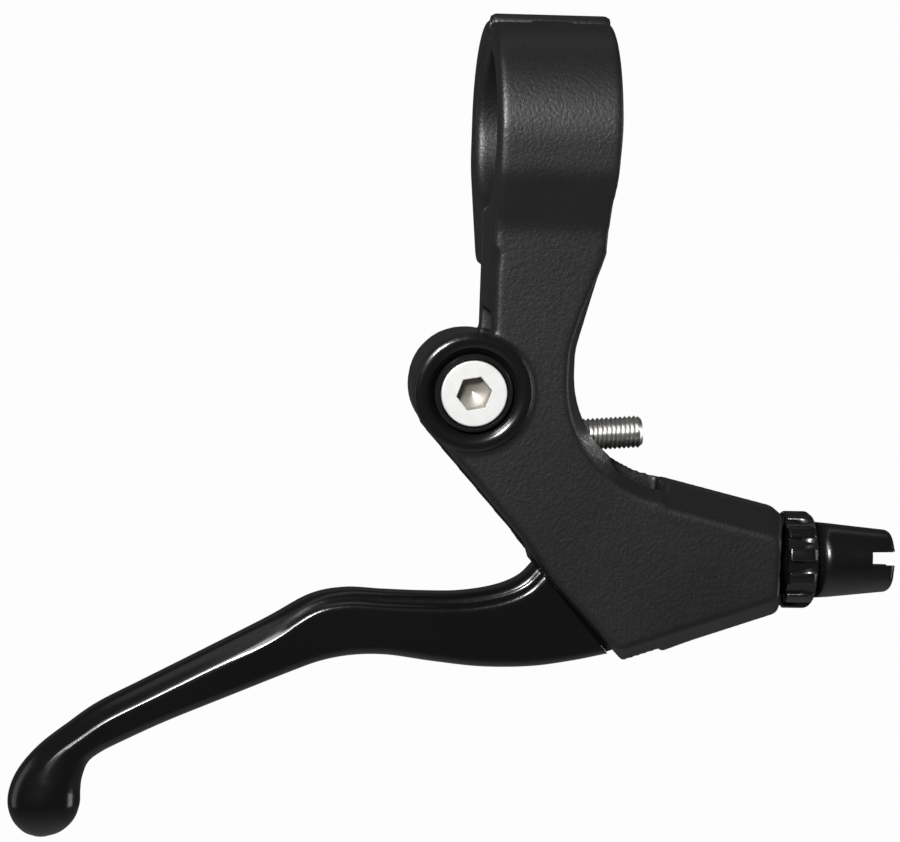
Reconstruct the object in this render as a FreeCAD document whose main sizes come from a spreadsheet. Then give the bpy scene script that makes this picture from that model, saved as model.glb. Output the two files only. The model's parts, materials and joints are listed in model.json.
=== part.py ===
import FreeCAD, Part
import math
import os
import Sketcher
from FreeCAD import Vector

# Bicycle brake lever with a hinged bar clamp, in millimetres. The origin is the centre of the
# handlebar bore, +X runs along the bar towards the cable adjuster, +Z is up, and the flat face
# of the body looks along -Y.
doc = FreeCAD.newDocument("brake_lever")
sheet = doc.addObject("Spreadsheet::Sheet", "Sheet")

DRIVING_SIZES = [
    # the clamp round the bar
    ("bar_radius", 11.1),
    ("band_width", 17.5),
    ("band_top", 15.5),
    ("band_front", 16.4),
    ("band_rear", 16.3),
    ("bore_chamfer", 0.7),
    ("band_edge_round", 0.7),
    ("band_drop", 16.0),
    ("split_gap", 0.4),
    ("clamp_foot", 20.1),
    ("taper_start", 3.5),
    ("taper_inset", 1.6),
    ("taper_drop", 18.5),
    ("tail_depth", 8.0),
    ("hinge_height", 14.8),
    ("hinge_bead_radius", 1.4),
    ("hinge_clearance", 0.06),
    ("hinge_pin_radius", 0.6),
    ("clamp_bolt_drop", 15.6),
    ("clamp_bolt_radius", 2.5),
    ("clamp_bolt_hole_radius", 2.75),
    ("clamp_bolt_reach", 9.5),
    ("clamp_head_radius", 4.25),
    ("clamp_head_height", 5.0),
    ("clamp_head_socket", 4.0),
    ("clamp_seat", 5.6),
    ("washer_thickness", 0.8),
    ("washer_radius", 4.4),
    # the forged body below it
    ("body_depth", 13.8),
    ("body_flat_depth", 6.0),
    ("neck_left", 8.65),
    ("neck_right", 3.95),
    ("slot_width", 8.2),
    ("slot_reach", 11.5),
    ("slot_wall", 1.2),
    ("slot_end", 17.6),
    ("bridge_drop", 47.6),
    ("trough_start", 9.8),
    ("nose_end", 35.0),
    ("nose_top_inner", 11.4),
    ("nose_top_outer", 7.25),
    ("nose_bottom_outer", 7.3),
    ("body_toe", 15.0),
    ("body_toe_x", 12.3),
    ("bevel_neck", 1.5),
    ("bevel_edge", 0.95),
    ("bevel_top", 3.4),
    ("bevel_bottom", 2.8),
    ("bevel_end", 0.8),
    ("bevel_fade", 0.06),
    ("hollow_inset", 8.9),
    ("body_edge_round", 0.45),
    # the lever pivot
    ("pivot_x", -11.0),
    ("pivot_drop", 36.3),
    ("boss_radius", 8.45),
    ("boss_rise", 1.0),
    ("rear_boss_radius", 7.8),
    ("dish_radius", 6.9),
    ("cup_radius", 5.55),
    ("cup_wall", 0.65),
    ("cup_height", 1.7),
    ("pivot_shank_radius", 3.0),
    ("pivot_clearance", 0.05),
    ("pivot_head_radius", 4.7),
    ("pivot_head_height", 2.0),
    ("pivot_socket", 4.2),
    ("pivot_socket_depth", 2.4),
    ("nut_radius", 5.0),
    ("nut_height", 2.6),
    ("bushing_radius", 4.2),
    ("bushing_flange_radius", 5.6),
    ("bushing_flange", 0.5),
    # the blade
    ("blade_thickness", 8.0),
    ("tongue_thickness", 7.0),
    ("hub_radius", 8.15),
    ("blade_bevel", 1.5),
    ("blade_stop_gap", 1.5),
    ("tip_x", -69.75),
    ("tip_drop", 96.95),
    ("tip_radius", 5.25),
    # the cable line, its anchor and its adjuster
    ("cable_drop", 60.7),
    ("cable_radius", 0.9),
    ("cable_slit", 1.8),
    ("anchor_x", 8.0),
    ("anchor_radius", 3.5),
    ("anchor_clearance", 0.05),
    ("adjuster_thread_radius", 5.0),
    ("adjuster_clearance", 0.05),
    ("adjuster_bore_depth", 11.0),
    ("adjuster_reach", 9.5),
    ("lockring_gap", 0.5),
    ("lockring_radius", 7.0),
    ("lockring_width", 5.4),
    ("lockring_tooth_rise", 0.6),
    ("lockring_teeth", 12),
    ("barrel_base_radius", 5.5),
    ("barrel_nose_radius", 4.5),
    ("barrel_length", 10.65),
    ("barrel_tip_round", 1.2),
    ("barrel_slot_width", 2.0),
    ("barrel_slot_depth", 3.5),
    ("barrel_turn", 8.0),
    ("housing_radius", 2.6),
    ("housing_depth", 9.0),
    # the reach screw
    ("reach_screw_radius", 2.3),
    ("reach_screw_clearance", 0.04),
    ("reach_screw_length", 14.5),
    ("reach_screw_end_x", 14.35),
    ("reach_screw_end_drop", 42.4),
    ("reach_screw_tilt", 4.3),
    ("reach_screw_chamfer", 0.5),
    ("reach_screw_socket", 2.5),
]
for row, (name, number) in enumerate(DRIVING_SIZES, start=1):
    sheet.set("A%d" % row, name)
    sheet.set("B%d" % row, str(number))
    sheet.setAlias("B%d" % row, name)
doc.recompute()


class Size:
    """A length: its number, and the words that bind a property to the sheet."""

    def __init__(self, number, words):
        self.number = number
        self.words = words

    def __add__(self, other):
        other = as_size(other)
        return Size(self.number + other.number, "(%s + %s)" % (self.words, other.words))

    def __sub__(self, other):
        other = as_size(other)
        return Size(self.number - other.number, "(%s - %s)" % (self.words, other.words))

    def __mul__(self, other):
        other = as_size(other)
        return Size(self.number * other.number, "(%s * %s)" % (self.words, other.words))

    def __truediv__(self, other):
        other = as_size(other)
        return Size(self.number / other.number, "(%s / %s)" % (self.words, other.words))

    def __neg__(self):
        return Size(-self.number, "(0 - %s)" % self.words)

    def __radd__(self, other):
        return as_size(other) + self

    def __rsub__(self, other):
        return as_size(other) - self

    def __rmul__(self, other):
        return as_size(other) * self


def as_size(value):
    """Lets a plain number stand beside sizes of the sheet."""
    if isinstance(value, Size):
        return value
    return Size(float(value), "(%r)" % float(value))


def size(name):
    return Size(float(sheet.get(name)), "Sheet." + name)


def bind(item, prop, value):
    """Sets a property to a size of the sheet and keeps it bound."""
    value = as_size(value)
    item.setExpression(prop, value.words)


def new_body(label, x=0, y=0, z=0):
    body = doc.addObject("PartDesign::Body", label)
    body.Label = label
    for axis, value in (("x", x), ("y", y), ("z", z)):
        bind(body, "Placement.Base." + axis, value)
    return body


def sketch_on(body, name, role, offset=0, across=0, up=0):
    """A sketch on one of the body's origin planes, moved along that plane's normal.

    XZ_Plane looks along -Y, so its offset counts towards the viewer; YZ_Plane looks along +X;
    XY_Plane looks along +Z. The sketch's own origin is moved across and up in the plane.
    """
    sketch = body.newObject("Sketcher::SketchObject", body.Label + "_" + name)
    plane = [item for item in body.Origin.OriginFeatures if item.Role == role][0]
    sketch.AttachmentSupport = [(plane, "")]
    sketch.MapMode = "FlatFace"
    for axis, value in (("x", across), ("y", up), ("z", offset)):
        bind(sketch, "AttachmentOffset.Base." + axis, value)
    return sketch


def pin_point(sketch, geometry, point, corner):
    """Holds one point of the sketch at two sizes from the sketch's origin."""
    for kind, value in zip(("DistanceX", "DistanceY"), corner):
        value = as_size(value)
        index = sketch.addConstraint(
            Sketcher.Constraint(kind, -1, 1, geometry, point, value.number))
        sketch.setExpression("Constraints[%d]" % index, value.words)


def draw_outline(sketch, corners):
    """A closed outline through corners (across, up, radius); a corner of radius 0 is sharp.

    A round corner is an arc tangent to both of its sides, whose lengths follow.
    """
    count = len(corners)
    spots = [Vector(as_size(u).number, as_size(v).number, 0) for u, v, _ in corners]
    radii = [as_size(radius) for _, _, radius in corners]
    entries, exits, arcs = [], [], []
    for i in range(count):
        before = (spots[i - 1] - spots[i]).normalize()
        after = (spots[(i + 1) % count] - spots[i]).normalize()
        half = before.getAngle(after) / 2
        if radii[i].number == 0:
            entries.append(spots[i])
            exits.append(spots[i])
            arcs.append(None)
            continue
        radius = radii[i].number
        reach = radius / math.tan(half)
        entry = spots[i] + before * reach
        leave = spots[i] + after * reach
        centre = spots[i] + (before + after).normalize() * (radius / math.sin(half))
        turn = (spots[i] - spots[i - 1]).cross(spots[(i + 1) % count] - spots[i]).z
        first, last = (entry, leave) if turn > 0 else (leave, entry)
        angles = [math.atan2(p.y - centre.y, p.x - centre.x) for p in (first, last)]
        circle = Part.Circle(centre, Vector(0, 0, 1), radius)
        entries.append(entry)
        exits.append(leave)
        arcs.append((Part.ArcOfCircle(circle, angles[0], angles[1]), turn > 0))
    lines = []
    for i in range(count):
        line = Part.LineSegment(exits[i], entries[(i + 1) % count])
        lines.append(sketch.addGeometry(line, False))
    for i in range(count):
        before, after = lines[i - 1], lines[i]
        if arcs[i] is None:
            sketch.addConstraint(Sketcher.Constraint("Coincident", before, 2, after, 1))
            pin_point(sketch, after, 1, corners[i][:2])
            continue
        arc = sketch.addGeometry(arcs[i][0], False)
        start, end = (1, 2) if arcs[i][1] else (2, 1)
        sketch.addConstraint(Sketcher.Constraint("Tangent", before, 2, arc, start))
        sketch.addConstraint(Sketcher.Constraint("Tangent", arc, end, after, 1))
        index = sketch.addConstraint(Sketcher.Constraint("Radius", arc, radii[i].number))
        sketch.setExpression("Constraints[%d]" % index, radii[i].words)
        point = sketch.addGeometry(Part.Point(spots[i]), True)
        sketch.addConstraint(Sketcher.Constraint("PointOnObject", point, 1, before))
        sketch.addConstraint(Sketcher.Constraint("PointOnObject", point, 1, after))
        pin_point(sketch, point, 1, corners[i][:2])


def step_in(corners, steps):
    """The outline moved inwards, side by side: steps[i] is for the side after corner i.

    A hollow corner's radius grows by the mean of its two steps.
    """
    count = len(corners)
    spots = [Vector(as_size(u).number, as_size(v).number, 0) for u, v, _ in corners]
    area = sum(spots[i - 1].cross(spots[i]).z for i in range(count))
    inwards = []
    for i in range(count):
        along = (spots[(i + 1) % count] - spots[i]).normalize()
        inwards.append(Vector(-along.y, along.x, 0) * (1 if area > 0 else -1))
    result = []
    for i, (across, up, radius) in enumerate(corners):
        first, second = inwards[i - 1], inwards[i]
        turn = first.cross(second).z
        before, after = as_size(steps[i - 1]), as_size(steps[i])
        across = across + before * (second.y / turn) - after * (first.y / turn)
        up = up - before * (second.x / turn) + after * (first.x / turn)
        if turn * area < 0 and as_size(radius).number > 0:
            radius = radius + (before + after) / 2
        result.append((across, up, radius))
    return result


def draw_circle(sketch, across, up, radius):
    radius = as_size(radius)
    centre = Vector(as_size(across).number, as_size(up).number, 0)
    circle = sketch.addGeometry(Part.Circle(centre, Vector(0, 0, 1), radius.number), False)
    index = sketch.addConstraint(Sketcher.Constraint("Radius", circle, radius.number))
    sketch.setExpression("Constraints[%d]" % index, radius.words)
    pin_point(sketch, circle, 3, (across, up))


def settle(feature):
    """Works the document out and stops at a feature that did not build."""
    doc.recompute()
    if "Invalid" in feature.State or "Error" in feature.State:
        raise RuntimeError(feature.Label + " did not build: " + feature.getStatusString())
    return feature


def extrude(kind, body, name, sketch, length, midplane=False):
    """A pad along the sketch's normal, or a pocket against it."""
    feature = body.newObject(kind, body.Label + "_" + name)
    feature.Profile = sketch
    bind(feature, "Length", length)
    if midplane:
        feature.Midplane = True
    return settle(feature)


def pad(body, name, sketch, length, midplane=False):
    return extrude("PartDesign::Pad", body, name, sketch, length, midplane)


def pocket(body, name, sketch, length, midplane=False):
    """Cuts, and checks that the cut took something away."""
    before = body.Shape.Volume
    feature = extrude("PartDesign::Pocket", body, name, sketch, length, midplane)
    if body.Shape.Volume > before - 0.01:
        raise ValueError(feature.Label + " cuts nothing")
    return feature


def disc(body, name, radius, near, far, across=0, up=0):
    """A round pad about the Y direction, from Y = far to Y = near."""
    sketch = sketch_on(body, name + "_outline", "XZ_Plane", -as_size(far), across, up)
    draw_circle(sketch, 0, 0, radius)
    return pad(body, name, sketch, as_size(far) - near)


def round_hole(body, name, radius, near, far, across=0, up=0):
    """A round hole about the Y direction, from Y = near back to Y = far."""
    sketch = sketch_on(body, name + "_outline", "XZ_Plane", -as_size(near), across, up)
    draw_circle(sketch, 0, 0, radius)
    return pocket(body, name, sketch, as_size(far) - near)


def rod(body, name, radius, start, end, across=0, up=0):
    """A round pad about the X direction, from X = start to X = end."""
    sketch = sketch_on(body, name + "_outline", "YZ_Plane", start, across, up)
    draw_circle(sketch, 0, 0, radius)
    return pad(body, name, sketch, end - as_size(start))


def bore_along(body, name, radius, start, end, across=0, up=0):
    """A round hole about the X direction, from its mouth at X = end back to X = start."""
    sketch = sketch_on(body, name + "_outline", "YZ_Plane", end, across, up)
    draw_circle(sketch, 0, 0, radius)
    return pocket(body, name, sketch, end - as_size(start))


def revolve(kind, body, name, sketch, axis):
    """Turns a section about the sketch's own H_Axis or V_Axis."""
    feature = body.newObject(kind, body.Label + "_" + name)
    feature.Profile = sketch
    feature.ReferenceAxis = (sketch, [axis])
    feature.Angle = 360
    return settle(feature)


def is_round(edge, radius):
    """True for an arc or circle of this radius."""
    return isinstance(edge.Curve, Part.Circle) and abs(edge.Curve.Radius - radius.number) < 1e-4


def lies_at(edge, axis, value):
    """True where the whole edge lies in the plane axis = value."""
    box = edge.BoundBox
    low, high = {"x": (box.XMin, box.XMax), "y": (box.YMin, box.YMax),
                 "z": (box.ZMin, box.ZMax)}[axis]
    value = as_size(value).number
    return abs(low - value) < 1e-3 and abs(high - value) < 1e-3


def hexagon(sketch, across_flats):
    """A hexagon with two flats level, its corners worked out from the width across flats."""
    half = across_flats / 2
    corner = half / math.cos(math.pi / 6)
    draw_outline(sketch, [
        (corner, 0, 0),
        (corner / 2, half, 0),
        (-corner / 2, half, 0),
        (-corner, 0, 0),
        (-corner / 2, -half, 0),
        (corner / 2, -half, 0),
    ])


def edges_where(shape, test):
    return ["Edge%d" % (i + 1) for i, edge in enumerate(shape.Edges) if test(edge)]


def finish_edges(kind, body, name, amount, test):
    """A fillet or chamfer on the edges of the body that pass the test."""
    base = body.Tip
    names = edges_where(base.Shape, test)
    if not names:
        raise ValueError(body.Label + " has no edges for " + name)
    feature = body.newObject(kind, body.Label + "_" + name)
    feature.Base = (base, names)
    bind(feature, "Radius" if kind.endswith("Fillet") else "Size", amount)
    return settle(feature)


# Places that several pieces share: the middle plane of slot, blade and cable, the pivot and
# the cable line.
middle = -size("body_depth") / 2
pivot_x = size("pivot_x")
pivot_z = -size("pivot_drop")
cable_z = -size("cable_drop")
slot_front = middle - size("slot_width") / 2
slot_rear = middle + size("slot_width") / 2
flat_front = middle - size("body_flat_depth") / 2
flat_rear = middle + size("body_flat_depth") / 2
face_front = -size("body_depth")
boss_front = face_front - size("boss_rise")
half_band = size("band_width") / 2
taper_foot = half_band - size("taper_inset")
adjuster_bore_radius = size("adjuster_thread_radius") + size("adjuster_clearance")
tongue_wall = size("slot_wall") - size("blade_stop_gap")


def clamp_taper(body, name, depth):
    """Trims the right side of the clamp's foot, which narrows towards the neck."""
    sketch = sketch_on(body, name + "_outline", "XZ_Plane", 0)
    right = half_band + 3
    draw_outline(sketch, [
        (right, size("taper_start"), 0),
        (half_band, size("taper_start"), 14),
        (taper_foot, -size("taper_drop"), 6),
        (size("neck_right"), -size("pivot_drop") + 5.8, 0),
        (right, -size("pivot_drop") + 5.8, 0),
    ])
    return pocket(body, name, sketch, depth, True)


def body_outline():
    """The forged body seen from the front at its widest, and how far each side's bevel steps in."""
    left = -size("neck_left")
    right = size("neck_right")
    end = size("nose_end")
    edge = size("bevel_edge")
    neck = size("bevel_neck")
    tangent = size("boss_radius") + 0.1
    # the hollow above the nose swings from the pivot's height down to the cable line
    hollow_radius = pivot_z - cable_z - size("hollow_inset")
    # the plate starts inside the clamp's band, on the line of the foot's taper
    plate_top = -size("taper_drop") + 14.5
    taper = (half_band - taper_foot) / (size("taper_start") + size("taper_drop"))
    corners = [
        (left, plate_top, 0),
        (left, pivot_z + 6.0, 0),
        (pivot_x - 0.759 * tangent, pivot_z - 0.652 * tangent, 0),
        (-3.35, cable_z + 2.9, 12),
        (0.6, cable_z - 2.8, 6),
        (size("body_toe_x"), cable_z - size("body_toe"), 1.2),
        (end, cable_z - size("nose_bottom_outer"), 1.4),
        (end, cable_z + size("nose_top_outer"), 1.4),
        (size("slot_end") + 0.6, cable_z + size("nose_top_inner"), 5),
        (right - 0.1, cable_z + 13.8, hollow_radius),
        (right, pivot_z + 5.8, 8),
        (taper_foot, -size("taper_drop"), 6),
        (half_band - taper * (size("taper_start") - plate_top), plate_top, 0),
    ]
    steps = [size("band_edge_round"), edge, edge, edge, edge, size("bevel_bottom"),
             size("bevel_end"), size("bevel_top"), size("bevel_top") * 0.85, neck, neck,
             size("bevel_fade"), 0]
    return corners, steps


def bevelled(body, name, corners, front_steps, rear_steps, flat_near, flat_far, near, far):
    """A plate through the outline, with a ruled bevel on both sides down to the stepped outline."""
    waist = sketch_on(body, name + "_waist", "XZ_Plane", -as_size(flat_far))
    draw_outline(waist, corners)
    pad(body, name + "_flat", waist, as_size(flat_far) - flat_near)
    for side, start, stop, steps in (("front", flat_near, near, front_steps),
                                     ("rear", flat_far, far, rear_steps)):
        wide = sketch_on(body, "%s_%s_wide" % (name, side), "XZ_Plane", -as_size(start))
        draw_outline(wide, corners)
        narrow = sketch_on(body, "%s_%s_narrow" % (name, side), "XZ_Plane", -as_size(stop))
        draw_outline(narrow, step_in(corners, steps))
        loft = body.newObject("PartDesign::AdditiveLoft", "%s_%s_%s" % (body.Label, name, side))
        loft.Profile = wide
        loft.Sections = [narrow]
        loft.Ruled = True
        settle(loft)


def make_body():
    """The forged body: the front half of the clamp, the neck, two cheeks and the nose."""
    body = new_body("lever_body")
    # the band's front half and its foot, seen from the end
    gap = size("split_gap")
    band = sketch_on(body, "band_section", "YZ_Plane")
    draw_outline(band, [
        (0, size("band_top"), 0),
        (-size("band_front"), size("band_top"), size("band_front") - gap),
        (-size("band_front"), -5.0, 9),
        (face_front, -12.5, 9),
        (face_front, -size("band_drop"), 0),
        (0, -size("band_drop"), 0),
    ])
    pad(body, "band", band, size("band_width"), True)
    round_band(body, -size("band_drop"), 0)
    clamp_taper(body, "foot_taper", 60)
    # the rest of the body: flat in the middle of its depth, bevelled towards both faces
    corners, steps = body_outline()
    rear_steps = [size("bevel_fade")] + steps[1:]
    bevelled(body, "plate", corners, steps, rear_steps, flat_front, flat_rear, face_front, 0)
    # the boss round the pivot, standing proud in front
    disc(body, "front_boss", size("boss_radius"), boss_front, slot_front, pivot_x, pivot_z)
    disc(body, "rear_boss", size("rear_boss_radius"), slot_rear, 0, pivot_x, pivot_z)
    finish_edges("PartDesign::Fillet", body, "boss_round", size("body_edge_round"), lambda edge: (
        is_round(edge, size("boss_radius")) and lies_at(edge, "y", boss_front)))
    # the bar's bore, with a lead-in at both ends
    bore = sketch_on(body, "bar_bore_outline", "YZ_Plane")
    draw_circle(bore, 0, 0, size("bar_radius"))
    pocket(body, "bar_bore", bore, size("band_width") * 2, True)
    bore_lead_in(body)
    # the hinge: a knuckle in the middle third, and seats for the cap's knuckles beside it
    knuckle(body, "hinge_knuckle", 0)
    knuckle_seat(body, "left_seat", -size("band_width") / 3)
    knuckle_seat(body, "right_seat", size("band_width") / 3)
    bore_along(body, "hinge_pin_hole", size("hinge_pin_radius"), -half_band, half_band,
               0, size("hinge_height"))
    # the slot for the blade, open to the left, below, and above between the cheeks
    round_slot = sketch_on(body, "hub_slot_outline", "XZ_Plane", -middle, pivot_x, pivot_z)
    draw_circle(round_slot, 0, 0, size("slot_reach"))
    pocket(body, "hub_slot", round_slot, size("slot_width"), True)
    slot = sketch_on(body, "blade_slot_outline", "XZ_Plane", -middle)
    draw_outline(slot, [
        (size("slot_wall"), pivot_z, 0),
        (size("slot_wall"), -size("bridge_drop"), 2),
        (size("trough_start"), -size("bridge_drop") - 1.2, 0.6),
        (size("trough_start"), -size("bridge_drop") + 6, 0),
        (size("slot_end"), -size("bridge_drop") + 6, 0),
        (size("slot_end"), cable_z - size("body_toe") - 5, 0),
        (pivot_x - 20, cable_z - size("body_toe") - 5, 0),
        (pivot_x - 20, pivot_z, 0),
    ])
    pocket(body, "blade_slot", slot, size("slot_width"), True)
    # the dished seat of the pivot head, and the pivot's bore through both cheeks
    seat = boss_front + size("cup_height")
    seat_radius = size("cup_radius") + size("pivot_clearance")
    dish = sketch_on(body, "dish_section", "XY_Plane", pivot_z, pivot_x, 0)
    draw_outline(dish, [
        (0, boss_front - 1, 0),
        (size("dish_radius"), boss_front - 1, 0),
        (size("dish_radius"), boss_front, 0),
        (seat_radius, seat - size("cup_wall"), 0),
        (seat_radius, seat, 0),
        (0, seat, 0),
    ])
    revolve("PartDesign::Groove", body, "dish", dish, "V_Axis")
    round_hole(body, "pivot_bore", size("pivot_shank_radius"), boss_front, 1, pivot_x, pivot_z)
    # the threaded seat of the adjuster, the cable's way in and the slit that lets it out behind
    mouth = size("nose_end") + 1
    bore_along(body, "adjuster_bore", adjuster_bore_radius, size("nose_end")
               - size("adjuster_bore_depth"), mouth, middle, cable_z)
    bore_along(body, "cable_way", size("cable_radius") * 2, size("slot_end") - 1, mouth,
               middle, cable_z)
    slit = sketch_on(body, "cable_slit_outline", "XZ_Plane", -middle)
    half_slit = size("cable_slit") / 2
    draw_outline(slit, [
        (size("slot_end") - 1, cable_z - half_slit, 0),
        (mouth, cable_z - half_slit, 0),
        (mouth, cable_z + half_slit, 0),
        (size("slot_end") - 1, cable_z + half_slit, 0),
    ])
    pocket(body, "cable_slit", slit, size("body_depth"))
    # the tapped hole of the reach screw, tilted upwards through the bridge
    hole = sketch_on(body, "reach_hole_outline", "YZ_Plane", size("reach_screw_end_x"),
                     middle, -size("reach_screw_end_drop"))
    hole.AttachmentOffset = FreeCAD.Placement(
        hole.AttachmentOffset.Base, FreeCAD.Rotation(Vector(-1, 0, 0), size("reach_screw_tilt").number))
    bind(hole, "AttachmentOffset.Rotation.Angle", size("reach_screw_tilt"))
    draw_circle(hole, 0, 0, size("reach_screw_radius") + size("reach_screw_clearance"))
    pocket(body, "reach_hole", hole, size("reach_screw_length") + 1)
    # the blind tapped hole of the clamp bolt
    round_hole(body, "clamp_bolt_hole", size("clamp_bolt_radius"),
               -size("clamp_bolt_reach") - 1, 1, 0, -size("clamp_bolt_drop"))
    return body


def round_band(body, foot, split):
    """Rounds the outer edges of the clamp's band at both of its ends."""
    finish_edges("PartDesign::Fillet", body, "band_round", size("band_edge_round"), lambda edge: (
        (lies_at(edge, "x", half_band) or lies_at(edge, "x", -half_band))
        and not lies_at(edge, "y", split)
        and not lies_at(edge, "z", foot)))


def bore_lead_in(body):
    """The small cone at both ends of the bar's bore."""
    finish_edges("PartDesign::Chamfer", body, "bore_lead_in", size("bore_chamfer"), lambda edge: (
        is_round(edge, size("bar_radius")) and edge.BoundBox.XLength < 0.01))


def knuckle(body, name, place):
    """One third of the hinge's bead."""
    third = size("band_width") / 3
    sketch = sketch_on(body, name + "_outline", "YZ_Plane", place, 0, size("hinge_height"))
    draw_circle(sketch, 0, 0, size("hinge_bead_radius"))
    return pad(body, name, sketch, third - size("hinge_clearance") * 2, True)


def knuckle_seat(body, name, place):
    """Room for a knuckle of the other half."""
    third = size("band_width") / 3
    sketch = sketch_on(body, name + "_outline", "YZ_Plane", place, 0, size("hinge_height"))
    draw_circle(sketch, 0, 0, size("hinge_bead_radius") + size("hinge_clearance"))
    return pocket(body, name, sketch, third + size("hinge_clearance"), True)


def make_cap():
    """The rear half of the clamp, hinged at the top and bolted at its foot."""
    body = new_body("clamp_cap")
    gap = size("split_gap")
    rear = size("band_rear")
    foot = -size("clamp_foot")
    band = sketch_on(body, "band_section", "YZ_Plane")
    draw_outline(band, [
        (gap, size("band_top"), 0),
        (rear, size("band_top"), rear - gap * 2),
        (rear, -7.2, 8),
        (size("tail_depth") - 1.2, foot, 3.2),
        (gap, foot, 0),
    ])
    pad(body, "band", band, size("band_width"), True)
    round_band(body, 0, gap)
    clamp_taper(body, "foot_taper", 60)
    bore = sketch_on(body, "bar_bore_outline", "YZ_Plane")
    draw_circle(bore, 0, 0, size("bar_radius"))
    pocket(body, "bar_bore", bore, size("band_width") * 2, True)
    bore_lead_in(body)
    knuckle(body, "left_knuckle", -size("band_width") / 3)
    knuckle(body, "right_knuckle", size("band_width") / 3)
    knuckle_seat(body, "middle_seat", 0)
    bore_along(body, "hinge_pin_hole", size("hinge_pin_radius") + size("pivot_clearance"),
               -half_band, half_band, 0, size("hinge_height"))
    drop = -size("clamp_bolt_drop")
    bolt_hole = sketch_on(body, "bolt_hole_outline", "XZ_Plane", 0, 0, drop)
    draw_circle(bolt_hole, 0, 0, size("clamp_bolt_hole_radius"))
    pocket(body, "bolt_hole", bolt_hole, rear)
    bolt_seat = sketch_on(body, "bolt_seat_outline", "XZ_Plane", -size("clamp_seat"), 0, drop)
    draw_circle(bolt_seat, 0, 0, size("washer_radius") + 0.3)
    pocket(body, "bolt_seat", bolt_seat, rear)
    return body


def make_hinge_pin():
    body = new_body("clamp_hinge_pin", 0, 0, size("hinge_height"))
    rod(body, "shank", size("hinge_pin_radius"), -half_band + 0.1, half_band - 0.1)
    return body


def make_clamp_bolt():
    """A cap screw that pulls the cap's foot against the body."""
    body = new_body("clamp_bolt", 0, size("clamp_seat") + size("washer_thickness"),
                    -size("clamp_bolt_drop"))
    length = size("clamp_seat") + size("washer_thickness") + size("clamp_bolt_reach")
    disc(body, "shank", size("clamp_bolt_radius"), -length, 0)
    disc(body, "head", size("clamp_head_radius"), 0, size("clamp_head_height"))
    socket = sketch_on(body, "socket_outline", "XZ_Plane", -size("clamp_head_height") / 2)
    hexagon(socket, size("clamp_head_socket"))
    pocket(body, "socket", socket, size("clamp_head_height"))
    finish_edges("PartDesign::Chamfer", body, "head_edge", 0.4, lambda edge: (
        is_round(edge, size("clamp_head_radius")) and lies_at(edge, "y", size("clamp_head_height"))))
    finish_edges("PartDesign::Chamfer", body, "tip_edge", 0.6, lambda edge: (
        is_round(edge, size("clamp_bolt_radius")) and lies_at(edge, "y", -length)))
    return body


def make_washer():
    body = new_body("clamp_bolt_washer", 0, size("clamp_seat"), -size("clamp_bolt_drop"))
    disc(body, "ring", size("washer_radius"), 0, size("washer_thickness"))
    round_hole(body, "hole", size("clamp_bolt_hole_radius"), -1, size("washer_thickness") + 1)
    return body


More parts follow.
